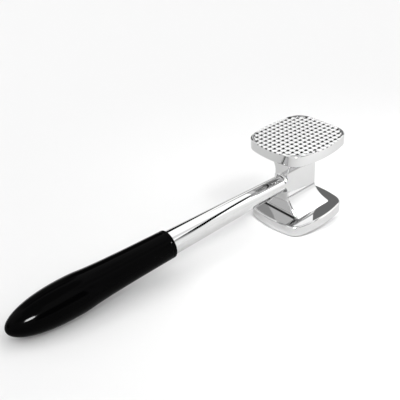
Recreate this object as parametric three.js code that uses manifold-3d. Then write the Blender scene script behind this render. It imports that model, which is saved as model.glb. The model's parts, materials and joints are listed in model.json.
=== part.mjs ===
// Meat mallet: a chromed two-plate head cast in one with its tapered shank, and a black
// grip that a threaded rod, a washer and a nut hold on the shank's end.
// Millimetres, +Z up. The mallet lies as it rests on a table: on the handle-side edge of
// its lower plate and on the underside of the grip. The handle points to -X.
import * as THREE from 'three';
import { mergeVertices } from 'three/addons/utils/BufferGeometryUtils.js';
import Module from 'manifold-3d';

const wasm = await Module();
wasm.setup();

// Striking head: two plates with bulged sides, seen along Z of the mallet's own axes
const plateLength = 60;
const plateWidth = 55;
const plateThickness = 8.6;
const plateSideRadius = 80;
const plateCornerRadius = 11;
const plateEdgeRound = 1.2;
const headHeight = 66.6;

// Waist between the plates: thin across the handle, flared to a foot on each plate
const waistFrontReach = 16.5;
const waistBackReach = 14;
const waistHalfWidth = 6.4;
const waistFlareHeight = 14.4;
const waistFootBackReach = 19.2;
const waistFootHalfWidth = 16.8;
const sideFlareSag = 1.6;
const backFlareSag = 1.3;

// Teeth: square pyramids with blunt tips and V valleys, let into the upper face
const toothPitch = 4.3;
const toothHeight = 1.7;
const toothTipWidth = 0.3;
const toothValleyDepth = 1.1;
const toothBedDepth = 0.4;
const toothPocketInset = 0.9;
const toothFieldInset = 0.6;
const toothFieldCornerRadius = 19;
const toothColumns = 14;
const toothRows = 13;

// Tapered shank, with a flat-sided tenon that keeps the grip from turning
const shankHeadRadius = 6.3;
const shankEndRadius = 8.5;
const shankLength = 120.5;
const shankSeatDepth = 4;
const tenonRadius = 5.8;
const tenonHalfFlats = 4.4;
const tenonLength = 8;

// Grip: outer radii at its mouth, neck pull, belly and tip, and where they lie along it
const gripLength = 112;
const gripMouthRadius = 9.7;
const gripNeckRadius = 11;
const gripBellyRadius = 12.4;
const gripTipRadius = 6.85;
const gripNeckShare = 0.66;
const gripBellyFrontShare = 0.49;
const gripBellyShare = 0.65;
const gripBellyBackShare = 0.86;
const gripMouthRound = 0.4;
const gripWall = 1.8;

// Core under the grip, and the rod, washer, nut and plug that close it
const coreTipRoom = 23.7;
const nutPocketRadius = 7.2;
const nutPocketDepth = 12;
const plugSpigotLength = 2.5;
const rodRadius = 3;
const rodSeatDepth = 24;
const rodEndChamfer = 0.6;
const rodProud = 1.5;
const washerRadius = 6;
const washerThickness = 1.6;
const nutAcrossFlats = 10;
const nutHeight = 5;

// Clearance between pieces that seat on each other, and overrun of cuts and joins
const fitGap = 0.3;
const cutOverrun = 2;

// Smoothness of round shapes, as counts: with fine sides the mallet rests without rocking
const lathePoints = 36;
const sideSteps = 15;
const cornerSteps = 6;
const edgeSteps = 3;
const flareSteps = 7;
const gripSteps = 9;

// Places along the handle, measured from the head's middle
const gripStart = shankLength;
const gripEnd = gripStart + gripLength;
const shankEnd = gripStart + shankSeatDepth;
const coreStart = shankEnd + fitGap;
const coreEnd = gripEnd - coreTipRoom;
const nutSeat = coreEnd - nutPocketDepth;
const washerStart = nutSeat + fitGap;
const nutStart = washerStart + washerThickness + fitGap;
const rodEnd = nutStart + nutHeight + rodProud;
const rodBoreRadius = rodRadius + fitGap;
const shankAxisHeight = headHeight / 2;

const chrome = () => new THREE.MeshStandardMaterial({ color: 0xd9dcdd, roughness: 0.06, metalness: 1 });
const steel = () => new THREE.MeshStandardMaterial({ color: 0xa9abab, roughness: 0.35, metalness: 1 });
const glossBlack = () => new THREE.MeshStandardMaterial({ color: 0x0b0b0c, roughness: 0.12, metalness: 0 });
const hardBlack = () => new THREE.MeshStandardMaterial({ color: 0x1c1c1e, roughness: 0.55, metalness: 0 });

// A closed geometry as a solid for cuts and joins, without the slivers on a lathe's axis
function solidOf(geometry) {
  const bare = geometry.clone();
  bare.deleteAttribute('normal');
  bare.deleteAttribute('uv');
  const merged = mergeVertices(bare);
  const kept = [];
  for (let i = 0; i < merged.index.count; i += 3) {
    const corners = [0, 1, 2].map((k) => merged.index.getX(i + k));
    if (new Set(corners).size === corners.length) kept.push(...corners);
  }
  const vertProperties = new Float32Array(merged.attributes.position.array);
  return new wasm.Manifold(new wasm.Mesh({ numProp: 3, vertProperties, triVerts: new Uint32Array(kept) }));
}

function geometryOf(solid) {
  const mesh = solid.getMesh();
  const geometry = new THREE.BufferGeometry();
  geometry.setAttribute('position', new THREE.BufferAttribute(mesh.vertProperties, mesh.numProp));
  geometry.setIndex(new THREE.BufferAttribute(mesh.triVerts, 1));
  return geometry;
}

function node(name, solid, material) {
  const mesh = new THREE.Mesh(geometryOf(solid), material);
  mesh.name = name;
  return mesh;
}

// Points of a round arc from start to end that bows to the left of travel by sag
function arcBetween(start, end, sag) {
  const chord = new THREE.Vector2().subVectors(end, start);
  const half = chord.length() / 2;
  const radius = (half * half + sag * sag) / (2 * sag);
  const left = new THREE.Vector2(-chord.y, chord.x).normalize();
  const centre = start.clone().lerp(end, 0.5).addScaledVector(left, sag - radius);
  const from = start.clone().sub(centre).angle();
  const to = end.clone().sub(centre).angle();
  return new THREE.EllipseCurve(centre.x, centre.y, radius, radius, from, to, true).getPoints(flareSteps);
}

// Outline of a rectangle with four bulged sides and round corners, moved in by inset
function bulgedOutline(inset, cornerRadius) {
  const sideRadius = plateSideRadius - inset;
  const sideX = plateLength / 2 - plateSideRadius;
  const sideY = plateWidth / 2 - plateSideRadius;
  const reach = sideRadius - cornerRadius;
  const halfSpan = Math.hypot(sideX, sideY) / 2;
  const push = Math.sqrt(reach * reach - halfSpan * halfSpan) / (2 * halfSpan);
  const cornerX = sideX / 2 - sideY * push;
  const cornerY = sideY / 2 - sideX * push;
  const low = Math.atan2(cornerY, cornerX - sideX);
  const high = Math.atan2(cornerY - sideY, cornerX);
  const arc = (x, y, radius, from, to, steps) => (
    new THREE.EllipseCurve(x, y, radius, radius, from, to).getPoints(steps));
  const half = [
    ...arc(sideX, 0, sideRadius, -low, low, sideSteps),
    ...arc(cornerX, cornerY, cornerRadius, low, high, cornerSteps).slice(1, -1),
    ...arc(0, sideY, sideRadius, high, Math.PI - high, sideSteps),
    ...arc(-cornerX, cornerY, cornerRadius, Math.PI - high, Math.PI - low, cornerSteps).slice(1, -1),
  ];
  return new THREE.Shape([...half, ...half.map((p) => p.clone().negate())]);
}

function plateGeometry() {
  const geometry = new THREE.ExtrudeGeometry(bulgedOutline(0, plateCornerRadius), {
    depth: plateThickness - 2 * plateEdgeRound,
    bevelEnabled: true,
    bevelThickness: plateEdgeRound,
    bevelSize: plateEdgeRound,
    bevelOffset: -plateEdgeRound,
    bevelSegments: edgeSteps,
  });
  geometry.translate(0, 0, plateEdgeRound);
  return geometry;
}

// The waist's section across the handle, with a flare from each plate to the thin middle
function waistSideSection() {
  const low = plateThickness;
  const high = headHeight - plateThickness;
  const foot = waistFootHalfWidth;
  const at = (y, z) => new THREE.Vector2(y, z);
  const right = [
    at(foot, low - cutOverrun),
    ...arcBetween(at(foot, low), at(waistHalfWidth, low + waistFlareHeight), sideFlareSag),
    ...arcBetween(at(waistHalfWidth, high - waistFlareHeight), at(foot, high), sideFlareSag),
    at(foot, high + cutOverrun),
  ];
  const left = right.map((p) => at(-p.x, p.y)).reverse();
  return new THREE.Shape([...right, ...left]);
}

// The waist's section along the handle: flat towards the handle, flared at the back
function waistLengthSection() {
  const low = plateThickness;
  const high = headHeight - plateThickness;
  const at = (x, z) => new THREE.Vector2(x, z);
  return new THREE.Shape([
    at(-waistFrontReach, low - cutOverrun),
    at(waistFootBackReach, low - cutOverrun),
    ...arcBetween(at(waistFootBackReach, low), at(waistBackReach, low + waistFlareHeight), backFlareSag),
    ...arcBetween(at(waistBackReach, high - waistFlareHeight), at(waistFootBackReach, high), backFlareSag),
    at(waistFootBackReach, high + cutOverrun),
    at(-waistFrontReach, high + cutOverrun),
  ]);
}

// A flat section pushed straight by depth, laid so that its own axes run along two others
function pushed(section, depth, alongX, alongY, start) {
  const geometry = new THREE.ExtrudeGeometry(section, { depth, bevelEnabled: false });
  const alongZ = new THREE.Vector3().crossVectors(alongX, alongY);
  geometry.applyMatrix4(new THREE.Matrix4().makeBasis(alongX, alongY, alongZ));
  geometry.translate(start.x, start.y, start.z);
  return geometry;
}

const axisX = new THREE.Vector3(1, 0, 0);
const axisY = new THREE.Vector3(0, 1, 0);
const axisZ = new THREE.Vector3(0, 0, 1);

function waist() {
  const width = 2 * (waistFootHalfWidth + cutOverrun);
  const reach = waistFootBackReach + waistFrontReach + 2 * cutOverrun;
  const sideStart = new THREE.Vector3(-waistFrontReach - cutOverrun, 0, 0);
  const lengthStart = new THREE.Vector3(0, width / 2, 0);
  const across = solidOf(pushed(waistSideSection(), reach, axisY, axisZ, sideStart));
  const along = solidOf(pushed(waistLengthSection(), width, axisX, axisZ, lengthStart));
  return across.intersect(along);
}

// The teeth as one closed sheet: pyramids that share their valleys, over a flat underside
function toothSheet() {
  const positions = [];
  const faces = [];
  const vertex = (x, y, z) => positions.push(x, y, z) / 3 - 1;
  const quad = (a, b, c, d) => faces.push(a, b, c, a, c, d);
  const placeX = (column) => (column - toothColumns / 2) * toothPitch;
  const placeY = (row) => (row - toothRows / 2) * toothPitch;
  const range = (count) => Array.from({ length: count }, (_, index) => index);
  const grid = (z) => range(toothColumns + 1).map((column) => (
    range(toothRows + 1).map((row) => vertex(placeX(column), placeY(row), z))));
  const valley = grid(-toothValleyDepth);
  const under = grid(-toothValleyDepth - cutOverrun);
  const corners = [[0, 0], [1, 0], [1, 1], [0, 1]];
  for (const column of range(toothColumns)) {
    for (const row of range(toothRows)) {
      const foot = corners.map(([i, j]) => valley[column + i][row + j]);
      const base = corners.map(([i, j]) => under[column + i][row + j]);
      const tip = corners.map(([i, j]) => vertex(
        placeX(column + 0.5) + (i - 0.5) * toothTipWidth,
        placeY(row + 0.5) + (j - 0.5) * toothTipWidth,
        toothHeight - toothValleyDepth,
      ));
      for (const side of range(corners.length)) {
        const next = (side + 1) % corners.length;
        quad(foot[side], foot[next], tip[next], tip[side]);
      }
      quad(...tip);
      quad(...base.reverse());
    }
  }
  const edge = (from, to) => quad(
    under[from[0]][from[1]],
    under[to[0]][to[1]],
    valley[to[0]][to[1]],
    valley[from[0]][from[1]],
  );
  for (const column of range(toothColumns)) {
    edge([column, 0], [column + 1, 0]);
    edge([column + 1, toothRows], [column, toothRows]);
  }
  for (const row of range(toothRows)) {
    edge([0, row + 1], [0, row]);
    edge([toothColumns, row], [toothColumns, row + 1]);
  }
  const geometry = new THREE.BufferGeometry();
  geometry.setAttribute('position', new THREE.Float32BufferAttribute(positions, 3));
  geometry.setIndex(faces);
  return geometry;
}

// A straight-walled block of the tooth field's outline, from a floor up past the tips
function fieldBlock(inset, floor) {
  const block = new THREE.ExtrudeGeometry(bulgedOutline(inset, toothFieldCornerRadius), {
    depth: toothHeight + cutOverrun,
    bevelEnabled: false,
  });
  return solidOf(block.translate(0, 0, floor));
}

// The upper plate, seated by its outer face at height zero: a shallow pocket full of teeth
function toothedPlate() {
  const plate = solidOf(plateGeometry().translate(0, 0, -plateThickness));
  const pocket = fieldBlock(toothPocketInset, -toothValleyDepth - toothBedDepth);
  const field = fieldBlock(toothFieldInset, -toothValleyDepth - cutOverrun / 2);
  return plate.subtract(pocket).add(field.intersect(solidOf(toothSheet())));
}

// A profile of radius against place along the handle, turned about the handle's axis
function turned(profile) {
  const geometry = new THREE.LatheGeometry(profile, lathePoints, Math.PI / lathePoints);
  geometry.rotateZ(Math.PI / 2);
  geometry.translate(0, 0, shankAxisHeight);
  return solidOf(geometry);
}

function rodShape(radius, start, end) {
  return turned([
    new THREE.Vector2(0, start),
    new THREE.Vector2(radius, start),
    new THREE.Vector2(radius, end),
    new THREE.Vector2(0, end),
  ]);
}

// A round bar with two flats, for the tenon and for the socket that it keys into
function flatSidedBar(radius, halfFlats, start, end) {
  const length = end - start + 2 * cutOverrun;
  const slab = new THREE.BoxGeometry(length, 2 * halfFlats, 2 * radius + 2 * cutOverrun);
  slab.translate(-(start + end) / 2, 0, shankAxisHeight);
  return rodShape(radius, start, end).intersect(solidOf(slab));
}

function shank() {
  const body = turned([
    new THREE.Vector2(0, 0),
    new THREE.Vector2(shankHeadRadius, 0),
    new THREE.Vector2(shankHeadRadius, waistFrontReach),
    new THREE.Vector2(shankEndRadius, shankLength),
    new THREE.Vector2(shankEndRadius, shankEnd),
    new THREE.Vector2(0, shankEnd),
  ]);
  const tenon = flatSidedBar(tenonRadius, tenonHalfFlats, shankEnd - cutOverrun, shankEnd + tenonLength);
  const bore = rodShape(rodBoreRadius, shankEnd - rodSeatDepth, shankEnd + tenonLength + cutOverrun);
  return body.add(tenon).subtract(bore);
}

function headCasting() {
  const lower = solidOf(plateGeometry());
  const upper = toothedPlate().translate([0, 0, headHeight]);
  const casting = lower.add(upper).add(waist()).add(shank());
  return node('head_casting', casting, chrome());
}

// The grip's outer line from mouth to tip, moved in by inset and kept from a start place on
function gripLine(inset, start) {
  const at = (share, radius) => new THREE.Vector2(radius, gripStart + share * gripLength);
  const line = new THREE.CurvePath();
  line.add(new THREE.CubicBezierCurve(
    at(0, gripMouthRadius),
    at(gripNeckShare, gripNeckRadius),
    at(gripBellyFrontShare, gripBellyRadius),
    at(gripBellyShare, gripBellyRadius),
  ));
  line.add(new THREE.CubicBezierCurve(
    at(gripBellyShare, gripBellyRadius),
    at(gripBellyBackShare, gripBellyRadius),
    at(1, gripTipRadius),
    at(1, 0),
  ));
  const points = [];
  for (const curve of line.curves) {
    for (let step = 0; step <= gripSteps; step += 1) {
      const share = step / gripSteps;
      const tangent = curve.getTangent(share);
      const point = curve.getPoint(share).addScaledVector(new THREE.Vector2(-tangent.y, tangent.x), inset);
      if (points.length === 0 || point.distanceTo(points.at(-1)) > inset / gripLength) points.push(point);
    }
  }
  points.at(-1).x = 0;
  const next = points.findIndex((p) => p.y > start);
  if (next <= 0) return points;
  const before = points[next - 1];
  const after = points[next];
  const share = (start - before.y) / (after.y - before.y);
  return [before.clone().lerp(after, share), ...points.slice(next)];
}

// Gloss cover with a closed tip: its mouth laps the shank's end and its inside fits the core
function gripShell() {
  const mouth = gripLine(0, gripStart);
  const boreRadius = shankEndRadius + fitGap;
  const outer = [
    new THREE.Vector2(boreRadius, gripStart),
    new THREE.Vector2(gripMouthRadius - gripMouthRound, gripStart),
    new THREE.Vector2(gripMouthRadius, gripStart + gripMouthRound),
    ...mouth.slice(1),
  ];
  const cavity = gripLine(gripWall, coreStart);
  const inner = [...cavity.reverse(), new THREE.Vector2(boreRadius, coreStart)];
  return node('grip_shell', turned([...outer, ...inner, outer[0].clone()]), glossBlack());
}

// Hard moulding under the cover, bored for the rod, socketed for the tenon and the nut
function gripCore() {
  const line = gripLine(gripWall + fitGap, coreStart);
  const body = turned([new THREE.Vector2(0, coreStart), ...line]);
  const longest = 2 * gripBellyRadius;
  const keep = rodShape(longest, coreStart - cutOverrun, coreEnd);
  const bore = rodShape(rodBoreRadius, coreStart - cutOverrun, coreEnd);
  const socket = flatSidedBar(
    tenonRadius + fitGap,
    tenonHalfFlats + fitGap,
    coreStart - cutOverrun,
    shankEnd + tenonLength + fitGap,
  );
  const pocket = rodShape(nutPocketRadius, nutSeat, coreEnd + cutOverrun);
  const core = body.intersect(keep).subtract(bore).subtract(socket).subtract(pocket);
  return node('grip_core', core, hardBlack());
}

// Rounded plug that closes the nut's pocket and fills the tip of the cover
function corePlug() {
  const start = coreEnd + fitGap;
  const body = turned([new THREE.Vector2(0, start), ...gripLine(gripWall + fitGap, start)]);
  const spigot = rodShape(nutPocketRadius - fitGap, coreEnd - plugSpigotLength, start + cutOverrun);
  return node('core_plug', body.add(spigot), hardBlack());
}

function tangRod() {
  const start = shankEnd - rodSeatDepth + fitGap;
  const rod = turned([
    new THREE.Vector2(0, start),
    new THREE.Vector2(rodRadius - rodEndChamfer, start),
    new THREE.Vector2(rodRadius, start + rodEndChamfer),
    new THREE.Vector2(rodRadius, rodEnd - rodEndChamfer),
    new THREE.Vector2(rodRadius - rodEndChamfer, rodEnd),
    new THREE.Vector2(0, rodEnd),
  ]);
  return node('tang_rod', rod, steel());
}

function tangWasher() {
  const disc = rodShape(washerRadius, washerStart, washerStart + washerThickness);
  const hole = rodShape(rodBoreRadius, washerStart - cutOverrun, nutStart);
  return node('tang_washer', disc.subtract(hole), steel());
}

function tangNut() {
  const circumradius = nutAcrossFlats / Math.sqrt(3);
  const sides = 6;
  const hex = new THREE.CylinderGeometry(circumradius, circumradius, nutHeight, sides);
  hex.rotateZ(Math.PI / 2);
  hex.translate(-(nutStart + nutHeight / 2), 0, shankAxisHeight);
  const hole = rodShape(rodBoreRadius, nutStart - cutOverrun, nutStart + nutHeight + cutOverrun);
  return node('tang_nut', solidOf(hex).subtract(hole), steel());
}

// The angle at which the grip's lowest facet and the lower plate's edge touch one flat surface
function restAngle() {
  const places = bulgedOutline(0, plateCornerRadius).getPoints().map((p) => p.x);
  const edge = Math.max(...places) - plateEdgeRound;
  const facetShare = Math.cos(Math.PI / lathePoints);
  const rise = (p) => Math.atan2(shankAxisHeight - p.x * facetShare, p.y - edge);
  return Math.min(...gripLine(0, gripStart).map(rise));
}

const mallet = new THREE.Group();
mallet.add(headCasting(), gripShell(), gripCore(), corePlug(), tangRod(), tangWasher(), tangNut());
mallet.rotation.y = -restAngle();

// The origin lies under the middle of the resting mallet, on the surface that it rests on
const part = new THREE.Group();
part.add(mallet);
const box = new THREE.Box3().setFromObject(part, true);
mallet.position.set(-(box.min.x + box.max.x) / 2, -(box.min.y + box.max.y) / 2, -box.min.z);

export default part;
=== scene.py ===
"""Looks of the meat mallet around its CAD frame: metres, +Z up, the mallet at rest on a table.

The visible head and grip are finer meshes that stand for two CAD nodes. They are worked out
in the mallet's own axes, in millimetres: the origin is the middle of the lower face, +Z is
the striking axis and the handle points to -X.
"""

import json
import math
from typing import NamedTuple

import bmesh
import bpy
import numpy as np
from mathutils import Matrix, Vector


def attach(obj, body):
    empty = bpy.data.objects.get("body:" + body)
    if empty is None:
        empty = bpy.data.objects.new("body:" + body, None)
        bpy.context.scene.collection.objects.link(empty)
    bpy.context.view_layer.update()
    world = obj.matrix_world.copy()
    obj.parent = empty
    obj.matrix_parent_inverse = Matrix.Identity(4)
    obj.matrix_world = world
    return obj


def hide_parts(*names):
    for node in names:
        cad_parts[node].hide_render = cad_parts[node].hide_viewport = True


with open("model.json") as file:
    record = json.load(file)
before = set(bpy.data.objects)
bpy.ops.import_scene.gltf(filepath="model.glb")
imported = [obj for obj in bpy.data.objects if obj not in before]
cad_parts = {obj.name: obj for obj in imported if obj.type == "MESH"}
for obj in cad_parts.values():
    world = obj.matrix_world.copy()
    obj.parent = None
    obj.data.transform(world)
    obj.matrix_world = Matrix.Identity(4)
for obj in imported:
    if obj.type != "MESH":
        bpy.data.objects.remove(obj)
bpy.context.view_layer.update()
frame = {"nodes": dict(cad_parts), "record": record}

# Plates: outline radii, thickness and edges
PLATE_LENGTH = 60
PLATE_WIDTH = 55
PLATE_THICKNESS = 8.6
SIDE_RADIUS = 80
CORNER_RADIUS = 11
HEAD_HEIGHT = 66.6
EDGE_ROUND = 1.2
CROWN_DROP = 1.0
CROWN_REACH = 1.4
CROWN_RISE = 0.25

# Teeth, let into the upper face
TOOTH_PITCH = 4.3
TOOTH_RISE = 0.5
TOOTH_HEIGHT = 1.7
TOOTH_TIP_WIDTH = 0.14
TOOTH_COLUMNS = 16
TOOTH_ROWS = 15
FIELD_CORNER_RADIUS = 24
FIELD_INSET = -0.6
FLANK_TOLERANCE = 0.03

# Waist between the plates
WAIST_FRONT_REACH = 16.5
WAIST_BACK_REACH = 14
WAIST_HALF_WIDTH = 6.4
FLARE_HEIGHT = 14.4
FOOT_BACK_REACH = 19.2
FOOT_HALF_WIDTH = 16.8
SIDE_FLARE_SAG = 1.6
BACK_FLARE_SAG = 1.3
RIDGE_ROUND = 2.2
WAIST_ROUND = 1.1
FOOT_ROUND = 1.8

# Shank and its hidden end
SHANK_HEAD_RADIUS = 6.3
SHANK_END_RADIUS = 8.5
SHANK_LENGTH = 120.5
SHANK_SEAT = 4
COLLAR_ROUND = 2.2
COLLAR_DEPTH = 1.5
COLLAR_SINK = 0.03
COLLAR_HALF_WIDTH = WAIST_HALF_WIDTH - COLLAR_SINK
COLLAR_OVERLAP = 0.05
TENON_RADIUS = 5.8
TENON_HALF_FLATS = 4.4
TENON_LENGTH = 8
BORE_RADIUS = 3.3
BORE_DEPTH = 24
END_CHAMFER = 0.3

# Grip
GRIP_LENGTH = 112
GRIP_MOUTH_RADIUS = 9.7
GRIP_NECK_RADIUS = 11
GRIP_BELLY_RADIUS = 12.4
GRIP_TIP_RADIUS = 6.85
GRIP_NECK_SHARE = 0.66
GRIP_BELLY_FRONT_SHARE = 0.49
GRIP_BELLY_SHARE = 0.65
GRIP_BELLY_BACK_SHARE = 0.86
GRIP_WALL = 1.8
GRIP_BORE_RADIUS = 8.8
GRIP_MOUTH_ROUND = 0.9
LIP_LENGTH = 2.8
LIP_GROOVE = 0.22
LIP_GROOVE_WIDTH = 1.1
CAVITY_START = 4.3
CAVITY_TIP_RADIUS = 0.2

# Height of the handle's axis
AXIS_HEIGHT = HEAD_HEIGHT / 2

# Overlap of joined pieces
JOIN = 2

# A millimetre in metres
MILLI = 0.001

# Smoothness, as counts
SIDE_POINTS = 28
CORNER_POINTS = 20
ROUND_POINTS = 6
FLARE_POINTS = 16
FOOT_POINTS = 8
RIDGE_POINTS = 6
COLLAR_POINTS = 10
LATHE_POINTS = 128
GRIP_POINTS = 40
LIP_POINTS = 8

# Mesh cleaning: merging distances, smooth shading up to an angle in degrees, lead of large faces
BUILT_MERGE = 0.00001
SETTLED_MERGE = 0.0001
HEAD_CREASE = 30
GRIP_CREASE = 50
AREA_WEIGHT = 100


class Finish(NamedTuple):
    """A surface: its colour, range of roughness, and a bump.

    Patches, grain and its detail are settings of noise, strength is the bump's share and depth
    its height in metres.
    """

    colour: tuple
    roughness: tuple
    patches: float
    grain: float
    grain_detail: float
    strength: float
    depth: float
    metallic: float = 0.0


# Patches of roughness: detail of their noise, and the noise at their edges
PATCH_DETAIL = 3.0
PATCH_EDGES = (0.3, 0.7)

# Finishes
CHROME = Finish(
    colour=(0.56, 0.56, 0.56),
    roughness=(0.015, 0.05),
    patches=55.0,
    grain=90.0,
    grain_detail=2.0,
    strength=0.04,
    depth=0.0004,
    metallic=1.0,
)
GLOSS_BLACK = Finish(
    colour=(0.0008, 0.0008, 0.0009),
    roughness=(0.05, 0.09),
    patches=60.0,
    grain=300.0,
    grain_detail=2.0,
    strength=0.05,
    depth=0.0003,
)
GLOSS_SPECULAR = 0.02
HARD_BLACK = Finish(
    colour=(0.03, 0.03, 0.032),
    roughness=(0.42, 0.6),
    patches=120.0,
    grain=900.0,
    grain_detail=3.0,
    strength=0.2,
    depth=0.0002,
)
STEEL = Finish(
    colour=(0.55, 0.55, 0.54),
    roughness=(0.25, 0.42),
    patches=200.0,
    grain=700.0,
    grain_detail=3.0,
    strength=0.15,
    depth=0.0002,
    metallic=1.0,
)

# Painted shade on the plating: the colour painted there, and the plating's roughness there
PAINTED_SHADE_GREY = 0.01
DULL_ROUGHNESS = 0.35

# Painted shade in the pits and valleys between the teeth
PIT_ALONG = 1.7
PIT_ACROSS = 1.15
PIT_SHIFT = 0.3
PIT_FULL_SHARE = 0.45
ROW_VALLEY_FADE = (0.2, 0.9)
COLUMN_VALLEY_FADE = (0.1, 0.7)
VALLEY_SHADE = 0.3
VALLEY_DEPTH_SHARES = (0.2, 0.5)

# Painted shade in the corner where the waist's front meets a plate
CORNER_HEIGHTS = (-0.8, 0.2)
CORNER_HEIGHT_SOFT = 0.25
CORNER_BEHIND = 0.5
CORNER_BEHIND_SOFT = 0.4
CORNER_END = 2
CORNER_END_SOFT = 0.8

# Painted shade along the crease where a flare begins
CREASE_HEIGHTS = (-0.5, 0.7)
CREASE_SOFT = 0.5
CREASE_START = 0.6
CREASE_SHADE = 0.5

# Surroundings: azimuths and heights in degrees, light as a multiple of plain white
CEILING_EDGE = (36, 42)
CEILING_LIGHT = 1.82
WALL_LIGHT = 1.3
CARDS = [
    # from and to azimuth, bottom and top, softness, light
    (-190, 190, 66, 100, 4, 0.8),
    (-190, -100, 45, 100, 5, 0.9),
    (-190, -100, 10, 40, 5, 1.3),
    (-50, 6, 6, 40, 3, 1.82),
    (-46, -28, 24, 44, 3, 2.8),
    (-60, -24, 47, 60, 3, 1.2),
    (6, 42.5, 19, 38, 1.5, 0.24),
    (42.5, 48, 19, 38, 1.2, 0.42),
    (48, 56.5, 5, 14, 1.5, 0.15),
    (-104, -66, 7.5, 34, 1.5, 0.05),
    (60, 108, 39, 58, 3, 0.4),
    (48, 55.5, 18, 60, 1.5, 1.82),
    (55.5, 100, 6, 37, 1.5, 0.25),
    (55.5, 72, 5, 38, 1.2, 0.02),
    (133, 175, 12, 28, 1.5, 0.03),
]

# Seam: a dark strip on a cone round an axis, which the shank mirrors as a sharp line
SEAM_AXIS = (0.9865, -0.1508, -0.0634)
SEAM_COSINE = 0.567
SEAM_HALF_WIDTH = 0.026
SEAM_SOFT = 0.008
SEAM_AZIMUTHS = (-57, -6)
SEAM_HEIGHT_FADE = (15, 30)
SEAM_FADE = 8
SEAM_LIGHT = 0.0

# Front light, which fills the seam's cone between two azimuths
FRONT_LIGHT = 1.4
FRONT_AZIMUTHS = (-100, 0)

# Lamps, placed and aimed in the mallet's own axes: sizes in metres, power in watts
POOL_PLACE = (60, -420, 500)
POOL_AIM = (60, -180, 0)
POOL_SIZE = (0.3, 0.3)
POOL_POWER = 0.27
POOL_SPREAD = 48
WINDOW_PLACE = (-423, -444, 395)
WINDOW_AIM = (-219, -7, 39)
WINDOW_SIZE = (0.16, 0.12)
WINDOW_POWER = 18
WINDOW_SPREAD = 180

# Table
FLOOR_HALF_WIDTH = 2.5
FLOOR_COLOUR = (0.8, 0.8, 0.8, 1)
FLOOR_ROUGHNESS = 0.9

# Camera, fitted to the photo: its place and two of its directions in the mallet's own axes
CAMERA_LENS = 51.75
CAMERA_SENSOR = 36
CAMERA_CLIP = (0.01, 20)
CAMERA_PLACE = (-281.402, -251.612, 255.048)
CAMERA_RIGHT = (0.768284, -0.635926, -0.073058)
CAMERA_UP = (0.391984, 0.377170, 0.839101)


def own_axes():
    """Matrix from the mallet's own axes in millimetres to the row frame in metres."""
    mount = frame["record"]["mounts"][0]
    up = -Vector(mount["axis"]).normalized()
    along = Vector((up.z, 0, -up.x))
    across = up.cross(along)
    turn = Matrix((along, across, up)).transposed().to_4x4()
    return Matrix.Translation(mount["pos_m"]) @ turn @ Matrix.Scale(MILLI, 4)


OWN = own_axes()


def arc(centre, radius, start, end, count):
    """Points on an arc, both ends included."""
    angles = np.linspace(start, end, count + 1)
    return [(centre[0] + radius * math.cos(a), centre[1] + radius * math.sin(a)) for a in angles]


def outline(inset, corner_radius=CORNER_RADIUS):
    """Anticlockwise outline of a plate: four bulged sides and round corners, moved in by inset."""
    side_x = PLATE_LENGTH / 2 - SIDE_RADIUS
    side_y = PLATE_WIDTH / 2 - SIDE_RADIUS
    reach = SIDE_RADIUS - corner_radius
    half_span = math.hypot(side_x, side_y) / 2
    push = math.sqrt(reach**2 - half_span**2) / (2 * half_span)
    corner = (side_x / 2 - side_y * push, side_y / 2 - side_x * push)
    low = math.atan2(corner[1], corner[0] - side_x)
    high = math.atan2(corner[1] - side_y, corner[0])
    side, tight = SIDE_RADIUS - inset, corner_radius - inset
    mirrored = (-corner[0], corner[1])
    half = [
        *arc((side_x, 0), side, -low, low, SIDE_POINTS),
        *arc(corner, tight, low, high, CORNER_POINTS)[1:-1],
        *arc((0, side_y), side, high, math.pi - high, SIDE_POINTS),
        *arc(mirrored, tight, math.pi - high, math.pi - low, CORNER_POINTS)[1:-1],
    ]
    return half + [(-x, -y) for x, y in half]


def ring_faces(levels, count):
    """Faces between each ring of points and the next, for rings of equal count."""
    faces = []
    for level in range(levels - 1):
        for i in range(count):
            j = (i + 1) % count
            a = level * count
            b = a + count
            faces.append((a + i, a + j, b + j, b + i))
    return faces


def made(name, mesh):
    """An object in the scene from a mesh, with doubled points merged and its faces turned outwards."""
    body = bmesh.new()
    body.from_mesh(mesh)
    bmesh.ops.remove_doubles(body, verts=body.verts, dist=BUILT_MERGE)
    bmesh.ops.recalc_face_normals(body, faces=body.faces)
    body.to_mesh(mesh)
    body.free()
    piece = bpy.data.objects.new(name, mesh)
    bpy.context.scene.collection.objects.link(piece)
    return piece


def stacked(name, rings):
    """A closed mesh from rings of equal count, each a list of points, with flat end caps."""
    mesh = bpy.data.meshes.new(name)
    count = len(rings[0])
    points = [p for ring in rings for p in ring]
    last = (len(rings) - 1) * count
    faces = ring_faces(len(rings), count)
    faces.append(tuple(reversed(range(count))))
    faces.append(tuple(range(last, last + count)))
    mesh.from_pydata(points, [], faces)
    mesh.update()
    return made(name, mesh)


def applied(piece, kind, **settings):
    """Runs one modifier on a piece and keeps its result as the piece's mesh."""
    step = piece.modifiers.new(kind, kind)
    for key, value in settings.items():
        setattr(step, key, value)
    view = bpy.context.evaluated_depsgraph_get()
    mesh = bpy.data.meshes.new_from_object(piece.evaluated_get(view))
    piece.modifiers.remove(step)
    old = piece.data
    piece.data = mesh
    bpy.data.meshes.remove(old)
    return piece


def combined(piece, other, operation):
    """Cuts or joins another closed mesh, and then removes it."""
    applied(piece, "BOOLEAN", operation=operation, object=other, solver="EXACT")
    bpy.data.objects.remove(other)
    return piece


def edge_profile(reach, drop):
    """A quarter ellipse from the rim to the face, as pairs of inset and depth below the face."""
    steps = [math.pi / 2 * i / ROUND_POINTS for i in range(ROUND_POINTS + 1)]
    return [(reach * (1 - math.cos(a)), drop * (1 - math.sin(a))) for a in steps]


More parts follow.
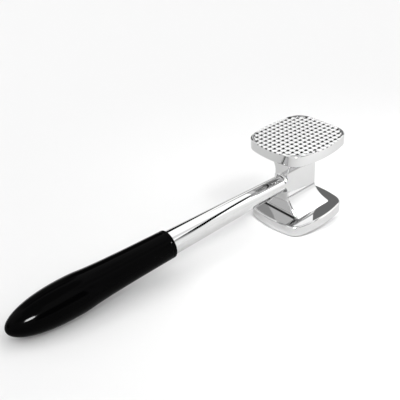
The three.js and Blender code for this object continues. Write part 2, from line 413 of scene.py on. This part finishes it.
def plate(name, bottom, top, top_profile):
    """A plate between two heights, round at its lower edge and shaped by a profile above."""
    below = [(inset, bottom + depth) for inset, depth in edge_profile(EDGE_ROUND, EDGE_ROUND)]
    above = [(inset, top - depth) for inset, depth in top_profile]
    levels = below[::-1] + above
    return stacked(name, [[(x, y, z) for x, y in outline(inset)] for inset, z in levels])


def crown():
    """The upper plate's top: a soft shoulder that rises a little past the face's height."""
    shoulder = edge_profile(CROWN_REACH, CROWN_DROP)
    return [(inset, depth - CROWN_RISE) for inset, depth in shoulder]


def in_field(column, row):
    """A place in the tooth field, counted in teeth from its corner."""
    x = (column - TOOTH_COLUMNS / 2) * TOOTH_PITCH
    y = (row - TOOTH_ROWS / 2) * TOOTH_PITCH
    return x, y


def field_walls(low, high):
    """Faces round the rim of two grids of points, one above the other."""
    walls = []
    for i in range(TOOTH_COLUMNS):
        walls.append((low[i][0], low[i + 1][0], high[i + 1][0], high[i][0]))
        walls.append((low[i + 1][-1], low[i][-1], high[i][-1], high[i + 1][-1]))
    for j in range(TOOTH_ROWS):
        walls.append((low[0][j + 1], low[0][j], high[0][j], high[0][j + 1]))
        walls.append((low[-1][j], low[-1][j + 1], high[-1][j + 1], high[-1][j]))
    return walls


def tooth_sheet(valley, tip):
    """The space above a grid of pyramids, as a closed mesh with a flat roof."""
    points = []
    faces = []

    def vertex(x, y, z):
        points.append((x, y, z))
        return len(points) - 1

    def grid(z):
        columns = range(TOOTH_COLUMNS + 1)
        rows = range(TOOTH_ROWS + 1)
        return [[vertex(*in_field(i, j), z) for j in rows] for i in columns]

    low = grid(valley)
    high = grid(tip + JOIN)
    around = [(0, 0), (1, 0), (1, 1), (0, 1)]
    for i in range(TOOTH_COLUMNS):
        for j in range(TOOTH_ROWS):
            x, y = in_field(i + 0.5, j + 0.5)
            foot = [low[i + a][j + b] for a, b in around]
            roof = [high[i + a][j + b] for a, b in around]
            peak = [
                vertex(x + (a - 0.5) * TOOTH_TIP_WIDTH, y + (b - 0.5) * TOOTH_TIP_WIDTH, tip)
                for a, b in around
            ]
            for k in range(4):
                n = (k + 1) % 4
                faces.append((foot[n], foot[k], peak[k], peak[n]))
            faces.append(tuple(reversed(peak)))
            faces.append(tuple(roof))
    mesh = bpy.data.meshes.new("tooth_sheet")
    mesh.from_pydata(points, [], faces + field_walls(low, high))
    return made("tooth_sheet", mesh)


def tooth_cutter():
    """Everything above the teeth, inside the field's outline."""
    tip = HEAD_HEIGHT + TOOTH_RISE
    valley = tip - TOOTH_HEIGHT
    field = outline(FIELD_INSET, FIELD_CORNER_RADIUS)
    levels = (valley - JOIN / 2, tip + JOIN / 2)
    sheet = tooth_sheet(valley, tip)
    block = stacked("tooth_block", [[(x, y, z) for x, y in field] for z in levels])
    return combined(sheet, block, "INTERSECT")


def flare(foot, waist, sag, share):
    """Reach of a flare at a share of its height, bowed inwards by sag."""
    return foot + (waist - foot) * share - 4 * sag * share * (1 - share)


def waist_ring(z):
    """A horizontal section of the waist: a rectangle with round corners."""
    share = min(z - PLATE_THICKNESS, HEAD_HEIGHT - PLATE_THICKNESS - z) / FLARE_HEIGHT
    share = min(max(share, 0), 1)
    half = flare(FOOT_HALF_WIDTH, WAIST_HALF_WIDTH, SIDE_FLARE_SAG, share)
    back = flare(FOOT_BACK_REACH, WAIST_BACK_REACH, BACK_FLARE_SAG, share)
    near = max(FOOT_ROUND - share * FLARE_HEIGHT, 0)
    front = -WAIST_FRONT_REACH - FOOT_ROUND + math.sqrt(FOOT_ROUND**2 - near**2)
    r = flare(RIDGE_ROUND, WAIST_ROUND, 0, share)
    corners = [
        ((back - r, -half + r), -math.pi / 2),
        ((back - r, half - r), 0),
        ((front + r, half - r), math.pi / 2),
        ((front + r, -half + r), math.pi),
    ]
    ring = []
    for centre, start in corners:
        ring += arc(centre, r, start, start + math.pi / 2, RIDGE_POINTS)
    return [(x, y, z) for x, y in ring]


def waist():
    """The waist with its flares and front foot rounds, run a little into both plates."""
    low = PLATE_THICKNESS
    high = HEAD_HEIGHT - PLATE_THICKNESS
    turns = [math.pi / 2 * i / FOOT_POINTS for i in range(FOOT_POINTS)]
    rise = [FOOT_ROUND * (1 - math.cos(a)) for a in turns]
    rest = FLARE_HEIGHT - FOOT_ROUND
    rise += [FOOT_ROUND + rest * i / FLARE_POINTS for i in range(FLARE_POINTS + 1)]
    heights = [low - JOIN, *[low + h for h in rise], *[high - h for h in reversed(rise)], high + JOIN]
    return stacked("waist", [waist_ring(z) for z in heights])


def around_handle(radius, along, half_flats=None):
    """A ring round the handle's axis at a place along it, cut to two flats if asked."""
    ring = []
    for i in range(LATHE_POINTS):
        a = 2 * math.pi * i / LATHE_POINTS
        y = radius * math.sin(a)
        if half_flats:
            y = min(max(y, -half_flats), half_flats)
        ring.append((-along, y, AXIS_HEIGHT + radius * math.cos(a)))
    return ring


def collar():
    """Rings of the hollow round where the shank meets the waist, just inside the waist's sides."""
    face = WAIST_FRONT_REACH
    inner = face - COLLAR_DEPTH
    wide = SHANK_HEAD_RADIUS + COLLAR_ROUND
    rings = [
        around_handle(SHANK_HEAD_RADIUS, inner - COLLAR_ROUND),
        around_handle(wide, inner, COLLAR_HALF_WIDTH),
    ]
    for i in range(COLLAR_POINTS + 1):
        a = math.pi / 2 * (1 - i / COLLAR_POINTS)
        along = face - COLLAR_OVERLAP + COLLAR_ROUND * (1 - math.sin(a))
        radius = SHANK_HEAD_RADIUS + COLLAR_ROUND * (1 - math.cos(a))
        rings.append(around_handle(radius, along, COLLAR_HALF_WIDTH))
    return rings


def shank():
    """The shank from inside the waist to its tenon, with the bore for the rod."""
    end = SHANK_LENGTH + SHANK_SEAT
    tenon_end = end + TENON_LENGTH
    rings = [
        around_handle(SHANK_HEAD_RADIUS, 0),
        *collar(),
        around_handle(SHANK_END_RADIUS, SHANK_LENGTH),
        around_handle(SHANK_END_RADIUS, end - END_CHAMFER),
        around_handle(SHANK_END_RADIUS - END_CHAMFER, end),
        around_handle(TENON_RADIUS, end, TENON_HALF_FLATS),
        around_handle(TENON_RADIUS, tenon_end, TENON_HALF_FLATS),
        around_handle(BORE_RADIUS, tenon_end),
        around_handle(BORE_RADIUS, end - BORE_DEPTH),
    ]
    return stacked("shank", rings)


def settled(piece, name, crease):
    """Moves a finished mesh to the row frame, smooths it up to a crease angle and names it."""
    body = bmesh.new()
    body.from_mesh(piece.data)
    bmesh.ops.remove_doubles(body, verts=body.verts, dist=SETTLED_MERGE)
    bmesh.ops.dissolve_degenerate(body, edges=body.edges, dist=SETTLED_MERGE)
    bmesh.ops.recalc_face_normals(body, faces=body.faces)
    limit = math.radians(crease)
    for face in body.faces:
        face.smooth = True
    for edge in body.edges:
        edge.smooth = edge.calc_face_angle(0) < limit
    body.to_mesh(piece.data)
    body.free()
    applied(piece, "WEIGHTED_NORMAL", mode="FACE_AREA", weight=AREA_WEIGHT, keep_sharp=True)
    piece.data.transform(OWN)
    piece.name = name
    piece.data.name = name
    return piece


def mark_recesses(piece):
    """Stores how deep the corners of the teeth's flanks and the field's walls lie.

    The depth goes from 0 at a tooth's tip to 1 in the valley.
    """
    mesh = piece.data
    recess = mesh.attributes.new("recess", "FLOAT", "CORNER")
    tip = HEAD_HEIGHT + TOOTH_RISE
    slope = math.atan2(TOOTH_HEIGHT, (TOOTH_PITCH - TOOTH_TIP_WIDTH) / 2)
    for face in mesh.polygons:
        across = max(abs(face.normal.x), abs(face.normal.y))
        flank = face.normal.z > 0 and abs(math.asin(min(across, 1)) - slope) < FLANK_TOLERANCE
        wall = abs(face.normal.z) < FLANK_TOLERANCE
        if face.center.z < tip - TOOTH_HEIGHT or not (flank or wall):
            continue
        for loop in face.loop_indices:
            depth = (tip - mesh.vertices[mesh.loops[loop].vertex_index].co.z) / TOOTH_HEIGHT
            recess.data[loop].value = min(max(depth, 0), 1)


def head_casting():
    """Both plates, the waist, the teeth and the shank as one closed mesh."""
    low_top = edge_profile(EDGE_ROUND, EDGE_ROUND)
    head = plate("lower_plate", 0, PLATE_THICKNESS, low_top)
    upper = plate("upper_plate", HEAD_HEIGHT - PLATE_THICKNESS, HEAD_HEIGHT, crown())
    combined(upper, tooth_cutter(), "DIFFERENCE")
    combined(head, waist(), "UNION")
    combined(head, upper, "UNION")
    combined(head, shank(), "UNION")
    mark_recesses(head)
    return settled(head, "mallet_head", HEAD_CREASE)


def bezier(p0, p1, p2, p3, count):
    """Points on a cubic curve from the first to the last of four points, both ends included."""
    shares = [i / count for i in range(count + 1)]
    return [
        tuple(
            (1 - t) ** 3 * a + 3 * (1 - t) ** 2 * t * b + 3 * (1 - t) * t * t * c + t**3 * d
            for a, b, c, d in zip(p0, p1, p2, p3)
        )
        for t in shares
    ]


def grip_line():
    """The grip's outer line from mouth to tip, as pairs of place along and radius."""

    def at(share, radius):
        return (SHANK_LENGTH + share * GRIP_LENGTH, radius)

    front = bezier(
        at(0, GRIP_MOUTH_RADIUS),
        at(GRIP_NECK_SHARE, GRIP_NECK_RADIUS),
        at(GRIP_BELLY_FRONT_SHARE, GRIP_BELLY_RADIUS),
        at(GRIP_BELLY_SHARE, GRIP_BELLY_RADIUS),
        GRIP_POINTS,
    )
    back = bezier(
        at(GRIP_BELLY_SHARE, GRIP_BELLY_RADIUS),
        at(GRIP_BELLY_BACK_SHARE, GRIP_BELLY_RADIUS),
        at(1, GRIP_TIP_RADIUS),
        at(1, 0),
        GRIP_POINTS,
    )
    return front + back[1:]


def offset_line(line, inset):
    """A line moved in by inset along its normals."""
    moved = []
    for i, (along, radius) in enumerate(line):
        before, after = line[max(i - 1, 0)], line[min(i + 1, len(line) - 1)]
        run, rise = after[0] - before[0], after[1] - before[1]
        length = math.hypot(run, rise)
        moved.append((along + inset * rise / length, radius - inset * run / length))
    moved[-1] = (line[-1][0] - inset, 0)
    return moved


def lip_groove(line):
    """Points of the shallow groove behind the grip's mouth, sunk below its outer line."""
    middle = SHANK_LENGTH + LIP_LENGTH
    points = []
    for i in range(LIP_POINTS + 1):
        share = i / LIP_POINTS - 0.5
        along = middle + LIP_GROOVE_WIDTH * share
        depth = LIP_GROOVE * math.cos(math.pi * share) ** 2
        points.append((along, np.interp(along, *zip(*line)) - depth))
    return points


def grip_profile():
    """The cover's section, from its hollow's end round the rounded mouth to its outer tip."""
    line = grip_line()
    r = GRIP_MOUTH_ROUND
    corner = arc((SHANK_LENGTH + r, GRIP_MOUTH_RADIUS - r), r, math.pi, math.pi / 2, ROUND_POINTS)
    groove = lip_groove(line)
    rest = [p for p in line[:-1] if p[0] > groove[-1][0]]
    start = SHANK_LENGTH + CAVITY_START
    hollow = offset_line(line, GRIP_WALL)
    hollow = [p for p in hollow if p[0] > start and p[1] > CAVITY_TIP_RADIUS]
    inner = [(start, GRIP_BORE_RADIUS), (start, hollow[0][1]), *hollow]
    return [*reversed(inner), (SHANK_LENGTH, GRIP_BORE_RADIUS), *corner, *groove, *rest]


def grip():
    """The gloss cover: outer skin, rounded mouth, and the hollow that holds the core."""
    rings = [around_handle(radius, along) for along, radius in grip_profile()]
    tip = SHANK_LENGTH + GRIP_LENGTH
    points = [p for ring in rings for p in ring]
    points += [(GRIP_WALL - tip, 0, AXIS_HEIGHT), (-tip, 0, AXIS_HEIGHT)]
    inner_tip = len(points) - 2
    outer_tip = len(points) - 1
    faces = ring_faces(len(rings), LATHE_POINTS)
    last = (len(rings) - 1) * LATHE_POINTS
    for i in range(LATHE_POINTS):
        j = (i + 1) % LATHE_POINTS
        faces.append((i, j, inner_tip))
        faces.append((last + j, last + i, outer_tip))
    mesh = bpy.data.meshes.new("grip")
    mesh.from_pydata(points, [], faces)
    return settled(made("grip", mesh), "mallet_grip", GRIP_CREASE)


class Graph:
    """A node tree, with short calls for the few kinds of node that are used here."""

    def __init__(self, tree):
        self.nodes = tree.nodes
        self.links = tree.links

    def put(self, socket, value):
        """Links another socket to this one, or sets this one's number."""
        if isinstance(value, bpy.types.NodeSocket):
            self.links.new(value, socket)
        else:
            socket.default_value = value

    def add(self, kind, **inputs):
        """A new node, with its inputs by name and an underscore for each space."""
        node = self.nodes.new(kind)
        for key, value in inputs.items():
            self.put(node.inputs[key.replace("_", " ")], value)
        return node

    def math(self, operation, *values):
        """One sum on numbers or sockets."""
        node = self.nodes.new("ShaderNodeMath")
        node.operation = operation
        for socket, value in zip(node.inputs, values):
            self.put(socket, value)
        return node.outputs[0]

    def ramp(self, value, start, end, low=0.0, high=1.0):
        """A soft step from low to high while the value goes from start to end."""
        node = self.nodes.new("ShaderNodeMapRange")
        node.interpolation_type = "SMOOTHSTEP"
        keys = ("Value", "From Min", "From Max", "To Min", "To Max")
        for key, number in zip(keys, (value, start, end, low, high)):
            self.put(node.inputs[key], number)
        return node.outputs["Result"]

    def inside(self, value, start, end, soft):
        """One between two limits and nothing outside them."""
        rise = self.ramp(value, start - soft, start + soft)
        fall = self.ramp(value, end - soft, end + soft, 1.0, 0.0)
        return self.math("MULTIPLY", rise, fall)

    def blend(self, share, first, second):
        """A number between two others."""
        gap = self.math("SUBTRACT", second, first)
        return self.math("MULTIPLY_ADD", gap, share, first)

    def dot(self, vector, axis):
        """How far a vector reaches along an axis."""
        node = self.nodes.new("ShaderNodeVectorMath")
        node.operation = "DOT_PRODUCT"
        self.put(node.inputs[0], vector)
        self.put(node.inputs[1], axis)
        return node.outputs["Value"]


class Shader(Graph):
    """A new material and its nodes."""

    def __init__(self, name):
        self.material = bpy.data.materials.new(name)
        self.material.use_nodes = True
        super().__init__(self.material.node_tree)
        self.surface = self.nodes["Principled BSDF"]

    def set(self, key, value):
        """Sets or links an input of the surface."""
        self.put(self.surface.inputs[key], value)

    def place(self):
        """The piece's own coordinates, in metres."""
        return self.add("ShaderNodeTexCoord").outputs["Object"]

    def own(self, axis):
        """One of the mallet's own coordinates, in millimetres."""
        back = OWN.inverted()
        return self.math("ADD", self.dot(self.place(), tuple(back[axis][:3])), back[axis][3])

    def noise(self, scale, detail):
        """Soft noise from 0 to 1."""
        node = self.add("ShaderNodeTexNoise", Vector=self.place(), Scale=scale, Detail=detail)
        return node.outputs["Fac"]

    def gloss(self, finish):
        """A roughness that varies in patches between a finish's two values."""
        return self.ramp(self.noise(finish.patches, PATCH_DETAIL), *PATCH_EDGES, *finish.roughness)

    def bump(self, finish):
        """A finish's fine bump, as a normal."""
        grain = self.noise(finish.grain, finish.grain_detail)
        node = self.add("ShaderNodeBump", Height=grain, Strength=finish.strength, Distance=finish.depth)
        return node.outputs["Normal"]


def plain(name, finish):
    """A new material with one finish all over."""
    shader = Shader(name)
    shader.set("Base Color", (*finish.colour, 1))
    shader.set("Metallic", finish.metallic)
    shader.set("Roughness", shader.gloss(finish))
    shader.set("Normal", shader.bump(finish))
    return shader


def painted_tooth_shade(shader):
    """How much shade is painted in the valleys between the teeth and in the pits where they cross."""
    recess = shader.add("ShaderNodeAttribute")
    recess.attribute_name = "recess"
    low = shader.ramp(recess.outputs["Fac"], *VALLEY_DEPTH_SHARES)
    half = TOOTH_PITCH / 2
    shifted = shader.math("SUBTRACT", shader.own(0), PIT_SHIFT)
    from_column = shader.math("PINGPONG", shifted, half)
    from_row = shader.math("SUBTRACT", half, shader.math("PINGPONG", shader.own(1), half))
    along = shader.math("POWER", shader.math("DIVIDE", from_column, PIT_ALONG), 2.0)
    across = shader.math("POWER", shader.math("DIVIDE", from_row, PIT_ACROSS), 2.0)
    pit = shader.ramp(shader.math("ADD", along, across), PIT_FULL_SHARE, 1.0, 1.0, 0.0)
    row = shader.ramp(from_row, *ROW_VALLEY_FADE, VALLEY_SHADE, 0.0)
    column = shader.ramp(from_column, *COLUMN_VALLEY_FADE, VALLEY_SHADE, 0.0)
    valley = shader.math("MAXIMUM", row, column)
    return shader.math("MULTIPLY", shader.math("MAXIMUM", pit, valley), low)


def painted_corner_shade(shader, off_middle):
    """How much shade is painted in the corner between the waist's front and a plate."""
    plate_face = AXIS_HEIGHT - PLATE_THICKNESS
    low, high = [plate_face + height for height in CORNER_HEIGHTS]
    across = shader.inside(off_middle, low, high, CORNER_HEIGHT_SOFT)
    first = -WAIST_FRONT_REACH - FOOT_ROUND
    last = -WAIST_FRONT_REACH + CORNER_BEHIND
    along = shader.inside(shader.own(0), first, last, CORNER_BEHIND_SOFT)
    near = -FOOT_HALF_WIDTH + CORNER_END
    within = shader.inside(shader.own(1), near, FOOT_HALF_WIDTH, CORNER_END_SOFT)
    return shader.math("MULTIPLY", shader.math("MULTIPLY", across, along), within)


def painted_crease_shade(shader, off_middle):
    """How much shade is painted along the crease where a flare begins, behind the waist's front."""
    crease = AXIS_HEIGHT - PLATE_THICKNESS - FLARE_HEIGHT
    low, high = [crease + height for height in CREASE_HEIGHTS]
    across = shader.inside(off_middle, low, high, CREASE_SOFT)
    start = -WAIST_FRONT_REACH
    behind = shader.ramp(shader.own(0), start, start + CREASE_START, 0.0, CREASE_SHADE)
    return shader.math("MULTIPLY", across, behind)


def chrome():
    """Bright plating, with shade painted darker and rougher between the teeth and in two inner corners.
    """
    shader = Shader("chromed_casting")
    off_middle = shader.math("ABSOLUTE", shader.math("SUBTRACT", shader.own(2), AXIS_HEIGHT))
    corner = painted_corner_shade(shader, off_middle)
    crease = painted_crease_shade(shader, off_middle)
    painted_shade = shader.math("MAXIMUM", corner, crease)
    painted_shade = shader.math("MAXIMUM", painted_shade, painted_tooth_shade(shader))
    # Painted shade: the base colour goes towards near-black where the masks are high
    shader.set("Base Color", shader.blend(painted_shade, CHROME.colour[0], PAINTED_SHADE_GREY))
    shader.set("Metallic", CHROME.metallic)
    shader.set("Roughness", shader.blend(painted_shade, shader.gloss(CHROME), DULL_ROUGHNESS))
    shader.set("Normal", shader.bump(CHROME))
    return shader.material


def gloss_black():
    """The polished black cover."""
    shader = plain("gloss_grip", GLOSS_BLACK)
    shader.set("Specular IOR Level", GLOSS_SPECULAR)
    return shader.material


def hard_black():
    """The plain black of the inner mouldings."""
    return plain("hard_core", HARD_BLACK).material


def steel():
    """The plain steel of the rod, the washer and the nut."""
    return plain("steel_tang", STEEL).material


def painted(piece, material):
    """Gives a piece one material."""
    piece.data.materials.clear()
    piece.data.materials.append(material)


def camera():
    """The photo's camera, placed in the mallet's own axes."""
    data = bpy.data.cameras.new("camera")
    data.lens = CAMERA_LENS
    data.sensor_width = CAMERA_SENSOR
    data.clip_start, data.clip_end = CAMERA_CLIP
    shot = bpy.data.objects.new("camera", data)
    bpy.context.scene.collection.objects.link(shot)
    turn = OWN.to_3x3().normalized()
    right = turn @ Vector(CAMERA_RIGHT)
    up = turn @ Vector(CAMERA_UP)
    axes = Matrix((right, up, right.cross(up))).transposed().to_4x4()
    shot.matrix_world = Matrix.Translation(OWN @ Vector(CAMERA_PLACE)) @ axes
    bpy.context.scene.camera = shot


def floor():
    """The white table."""
    half = FLOOR_HALF_WIDTH
    corners = [(-half, -half, 0), (half, -half, 0), (half, half, 0), (-half, half, 0)]
    mesh = bpy.data.meshes.new("floor")
    mesh.from_pydata(corners, [], [(0, 1, 2, 3)])
    plane = bpy.data.objects.new("floor", mesh)
    bpy.context.scene.collection.objects.link(plane)
    shader = Shader("floor")
    shader.set("Base Color", FLOOR_COLOUR)
    shader.set("Roughness", FLOOR_ROUGHNESS)
    shader.set("Specular IOR Level", 0.0)
    mesh.materials.append(shader.material)


def front_light(graph, light, azimuth, cone):
    """Adds the front light, inside the seam's cone and between two azimuths."""
    along = graph.inside(azimuth, *FRONT_AZIMUTHS, SEAM_FADE)
    within = graph.ramp(cone, SEAM_COSINE - SEAM_SOFT, SEAM_COSINE + SEAM_SOFT)
    return graph.blend(graph.math("MULTIPLY", along, within), light, FRONT_LIGHT)


def seam(graph, light, azimuth, height, cone):
    """Adds the dark strip on the seam's cone."""
    edges = (SEAM_COSINE - SEAM_HALF_WIDTH, SEAM_COSINE + SEAM_HALF_WIDTH)
    strip = graph.inside(cone, *edges, SEAM_SOFT)
    along = graph.inside(azimuth, *SEAM_AZIMUTHS, SEAM_FADE)
    above = graph.ramp(height, *SEAM_HEIGHT_FADE)
    dark = graph.math("MULTIPLY", graph.math("MULTIPLY", strip, along), above)
    return graph.blend(dark, light, SEAM_LIGHT)


def studio():
    """The surroundings that the chrome mirrors: soft white overhead, cards and flags around it.

    Each card spans some degrees of azimuth and of height as seen from the mallet, in its own axes.
    """
    world = bpy.data.worlds.new("studio")
    bpy.context.scene.world = world
    world.use_nodes = True
    graph = Graph(world.node_tree)
    seen = graph.nodes.new("ShaderNodeTexCoord").outputs["Generated"]
    turn = OWN.to_3x3().normalized()
    x, y, z = [graph.dot(seen, tuple(turn.col[i])) for i in range(3)]
    azimuth = graph.math("DEGREES", graph.math("ARCTAN2", y, x))
    height = graph.math("DEGREES", graph.math("ARCSINE", z))
    cone = graph.dot(seen, tuple(turn @ Vector(SEAM_AXIS).normalized()))
    light = graph.ramp(height, *CEILING_EDGE, WALL_LIGHT, CEILING_LIGHT)
    light = front_light(graph, light, azimuth, cone)
    for first, last, bottom, top, soft, card_light in CARDS:
        across = graph.inside(azimuth, first, last, soft)
        upward = graph.inside(height, bottom, top, soft)
        light = graph.blend(graph.math("MULTIPLY", across, upward), light, card_light)
    light = seam(graph, light, azimuth, height, cone)
    graph.put(graph.nodes["Background"].inputs["Color"], light)


def lamp(name, place, aim, size, power, spread):
    """An oval soft lamp, placed and aimed in the mallet's own axes."""
    data = bpy.data.lights.new(name, "AREA")
    data.shape = "ELLIPSE"
    data.size, data.size_y = size
    data.energy = power
    data.spread = math.radians(spread)
    body = bpy.data.objects.new(name, data)
    bpy.context.scene.collection.objects.link(body)
    body.location = OWN @ Vector(place)
    body.rotation_euler = (OWN @ Vector(aim) - body.location).to_track_quat("-Z", "Y").to_euler()
    return body


def lamps():
    """A pool of light on the table at the right, and a small window that the grip's tip mirrors."""
    pool = lamp("pool", POOL_PLACE, POOL_AIM, POOL_SIZE, POOL_POWER, POOL_SPREAD)
    pool.visible_glossy = False
    window = lamp("window", WINDOW_PLACE, WINDOW_AIM, WINDOW_SIZE, WINDOW_POWER, WINDOW_SPREAD)
    window.visible_diffuse = False


head = head_casting()
painted(head, chrome())
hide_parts("head_casting")
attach(head, "root")

cover = grip()
painted(cover, gloss_black())
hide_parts("grip_shell")
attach(cover, "root")

for name in ("grip_core", "core_plug"):
    painted(frame["nodes"][name], hard_black())
for name in ("tang_rod", "tang_washer", "tang_nut"):
    painted(frame["nodes"][name], steel())

floor()
studio()
lamps()
camera()
bpy.context.scene.view_settings.view_transform = "Standard"
